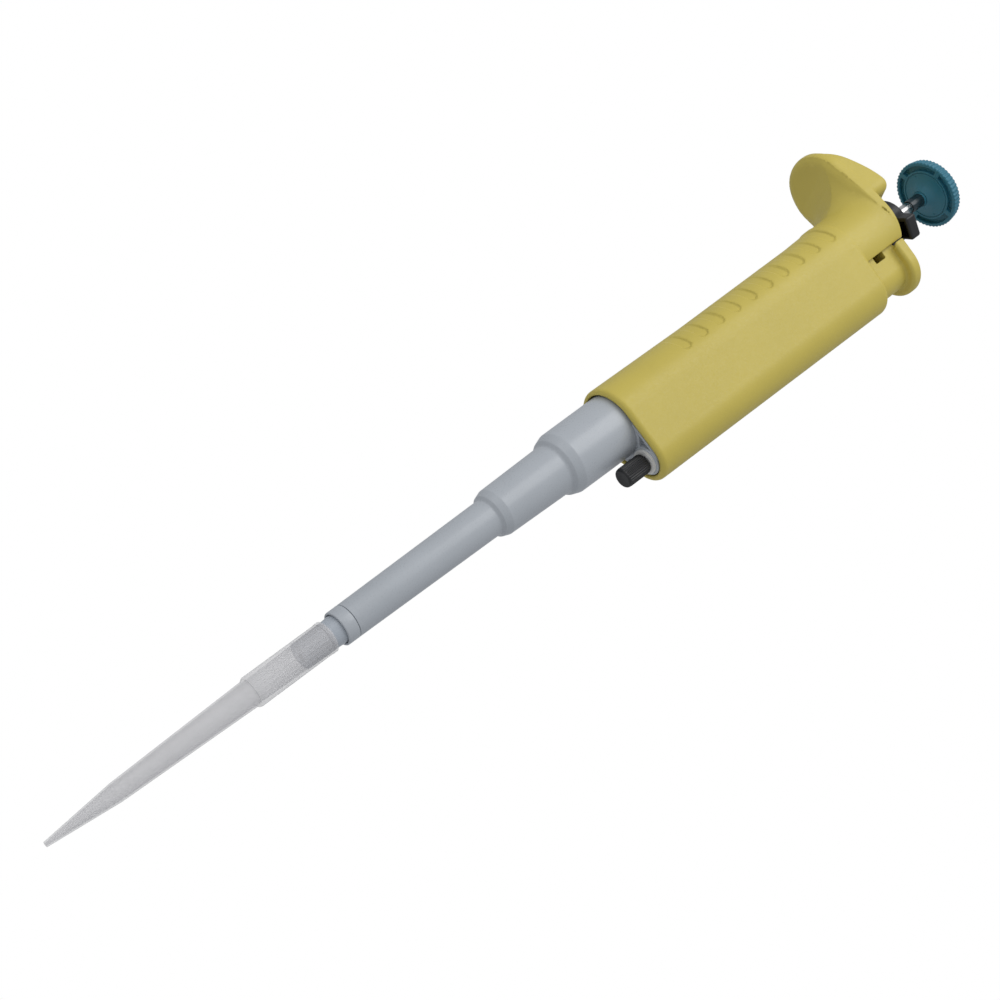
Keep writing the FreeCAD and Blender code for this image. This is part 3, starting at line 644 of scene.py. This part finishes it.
def lever_field(x, y, z):
    """The lock lever: a low cap round the bush with one hollow arm, open underneath."""
    low, high = low_high("lock_lever")
    top = high[2]
    turn = math.radians(-45.0)
    along = x * math.cos(turn) + y * math.sin(turn)
    across = -x * math.sin(turn) + y * math.cos(turn)
    distance = np.hypot(x, y)
    cap = both(distance - 7.0, slab(z, low[2], top), 0.9)
    collar = both(distance - 3.6, slab(z, top - 1.0, top + 0.05), 0.2)
    half = 3.35 + 0.03 * np.maximum(along - 6.0, 0.0)
    arm = both(np.abs(across) - half, slab(along, 0.0, 12.1), 0.7)
    arm_under = 225.2 - 0.1 * np.maximum(along - 7.0, 0.0)
    arm_top = top - 0.9 - 0.16 * np.maximum(along - 6.0, 0.0)
    arm = both(arm, slab(z, arm_under, arm_top), 1.0)
    hollow = both(np.abs(across) - half + 1.0, slab(along, 7.0, 11.1), 0.5)
    hollow = both(hollow, slab(z, 215.0, top - 2.2), 0.4)
    whole = either(either(cap, without(arm, hollow, 0.2), 1.0), collar, 0.2)
    bore = np.maximum(distance - 4.55, slab(z, 200.0, 229.2))
    return without(whole, np.minimum(bore, distance - 2.1), 0.1)


def make_lever():
    low, high = low_high("lock_lever")
    step = 0.22
    low, high = [value - 1.0 for value in low], [value + 1.0 for value in high]
    lever = surface_mesh("lock_lever_body", lever_field, low, high, step)
    dress(lever, "lever", "black_plastic", BLACK, "lock_lever")


# ------------------------------------------------------------ tip
def make_tip():
    """The disposable tip, with fine ribs below its rim."""
    low, high = low_high("pipette_tip")
    ribs = 24
    rib_low, rib_high = -15.0, 6.9

    def relief(radius, height, angle):
        if radius < 3.95 or not rib_low < height < rib_high:
            return radius
        crest = max(0.0, math.cos(ribs * angle)) ** 3
        return radius + 0.09 * crest

    wall_stations = [(4.08, height, 0) for height in np.linspace(rib_low + 0.1, rib_high - 0.1, 12)]
    profile = [(0.3, low[2], 0), (0.7, low[2], 0.1), (2.52, -54.4, 3.0), (3.6, -15.3, 0), (4.0, -15.3, 0.1),
               *wall_stations, (4.1, 7.2, 0), (4.25, 7.2, 0.1), (4.25, high[2], 0.2), (3.79, high[2], 0.1),
               (3.61, 0.0, 0), (3.45, -1.0, 0), (3.18, -15.3, 0), (2.1, -54.4, 2.0)]
    tip = lathe("tip_body", profile, ribs * 12, relief=relief, sharp=50.0)
    dress(tip, "tip", "tip_clear", CLEAR_TIP, "pipette_tip")


# ------------------------------------------------------------ numbers on the drums
def make_numbers():
    """The digits 0 to 9 round each drum, wrapped onto its face."""
    start = {"number_drum_tens": 0, "number_drum_hundreds": 1, "number_drum_thousands": 0}
    riders = {"number_drum_tens": "volume_drive", "number_drum_hundreds": "hundreds_drum",
              "number_drum_thousands": "thousands_drum"}
    for drum, shown in start.items():
        low, high = low_high(drum)
        radius = high[0]
        middle = (low[2] + 2.0 + high[2]) / 2
        digits = bmesh.new()
        for digit in range(10):
            text = bpy.data.curves.new("digit", "FONT")
            text.body = str(digit)
            text.size = 4.6
            text.align_x = "CENTER"
            text.align_y = "CENTER"
            text.resolution_u = 6
            holder = bpy.data.objects.new("digit", text)
            flat = bpy.data.meshes.new_from_object(holder)
            part = bmesh.new()
            part.from_mesh(flat)
            bmesh.ops.triangulate(part, faces=part.faces)
            bmesh.ops.subdivide_edges(part, edges=part.edges, cuts=2, use_grid_fill=True)
            raised = bmesh.ops.extrude_face_region(part, geom=part.faces)
            for item in raised["geom"]:
                if isinstance(item, bmesh.types.BMVert):
                    item.co.z += 0.06
            azimuth = math.pi / 2 + (digit - shown) * 2 * math.pi / 10
            for vert in part.verts:
                angle = azimuth - vert.co.x / radius
                far = radius - 0.03 + vert.co.z
                vert.co = Vector((far * math.cos(angle), far * math.sin(angle), middle + vert.co.y)) * MM
            bmesh.ops.recalc_face_normals(part, faces=part.faces)
            wrapped = bpy.data.meshes.new("digit")
            part.to_mesh(wrapped)
            part.free()
            digits.from_mesh(wrapped)
            bpy.data.objects.remove(holder)
            for item in (text, flat, wrapped):
                (bpy.data.curves if item is text else bpy.data.meshes).remove(item)
        mesh = bpy.data.meshes.new(drum + "_digits")
        digits.to_mesh(mesh)
        digits.free()
        dress(place(drum + "_digits", mesh), riders[drum], "black_plastic", INK)


# ------------------------------------------------------------ stage, light and camera
def area_light(name, towards, distance, size, power, aim=(0.0, 0.0, 0.12)):
    """A soft square light seen from the aim point in the given direction."""
    data = bpy.data.lights.new(name, "AREA")
    data.shape = "SQUARE"
    data.size = size
    data.energy = power
    lamp = bpy.data.objects.new(name, data)
    lamp.location = Vector(aim) + Vector(towards).normalized() * distance
    lamp.rotation_mode = "QUATERNION"
    lamp.rotation_quaternion = Vector(towards).to_track_quat("Z", "Y")
    bpy.context.scene.collection.objects.link(lamp)


def make_stage():
    """A plain pale floor well below the object, a white surround and soft lights."""
    mesh = bpy.data.meshes.new("floor")
    reach, height = 6.0, -0.45
    corners = [(-reach, -reach, height), (reach, -reach, height), (reach, reach, height), (-reach, reach, height)]
    mesh.from_pydata(corners, [], [(0, 1, 2, 3)])
    floor = place("floor", mesh)
    material = bpy.data.materials.new("floor_pale")
    material.use_nodes = True
    material.node_tree.nodes["Principled BSDF"].inputs["Base Color"].default_value = (0.86, 0.86, 0.86, 1.0)
    material.node_tree.nodes["Principled BSDF"].inputs["Roughness"].default_value = 0.9
    mesh.materials.append(material)
    world = bpy.data.worlds.new("studio")
    bpy.context.scene.world = world
    world.use_nodes = True
    nodes, links = world.node_tree.nodes, world.node_tree.links
    nodes.clear()
    seen = nodes.new("ShaderNodeBackground")
    seen.inputs["Color"].default_value = (1.0, 1.0, 1.0, 1.0)
    lit = nodes.new("ShaderNodeBackground")
    lit.inputs["Color"].default_value = (0.93, 0.96, 1.0, 1.0)
    lit.inputs["Strength"].default_value = 0.5
    blend = nodes.new("ShaderNodeMixShader")
    links.new(nodes.new("ShaderNodeLightPath").outputs["Is Camera Ray"], blend.inputs["Fac"])
    links.new(lit.outputs["Background"], blend.inputs[1])
    links.new(seen.outputs["Background"], blend.inputs[2])
    links.new(blend.outputs["Shader"], nodes.new("ShaderNodeOutputWorld").inputs["Surface"])


# The camera stands below and beside the hand-held pipette, rolled so that the tip points down and left.
CAMERA_AT = Vector((0.13296, -0.39190, -0.15804))
CAMERA_RIGHT = Vector((0.68576, -0.17320, 0.70692))
CAMERA_UP = Vector((-0.66946, -0.53119, 0.51928))


def make_camera():
    data = bpy.data.cameras.new("camera")
    data.sensor_width = 36.0
    data.lens = 66.6
    camera = bpy.data.objects.new("camera", data)
    right = CAMERA_RIGHT.normalized()
    back = right.cross(CAMERA_UP).normalized()
    up = back.cross(right)
    turn = Matrix((right, up, back)).transposed()
    camera.matrix_world = Matrix.Translation(CAMERA_AT) @ turn.to_4x4()
    bpy.context.scene.collection.objects.link(camera)
    bpy.context.scene.camera = camera
    towards = -back
    area_light("key", right * 0.9 + up * 1.0 - towards * 0.55, 0.9, 0.7, 4.3)
    area_light("fill", -right * 0.2 + up * 1.0 - towards * 0.9, 0.9, 0.7, 0.9)
    area_light("bounce", Vector((-0.5, -0.35, -1.0)), 1.0, 0.9, 1.6)


finish_cad_nodes()
make_handle()
make_ejector_button()
make_sleeve()
make_thumb_knob()
make_push_button()
make_rod()
make_lever()
make_tip()
make_numbers()
make_stage()
make_camera()
bpy.context.scene.view_settings.view_transform = "Standard"

bpy.context.view_layer.update()
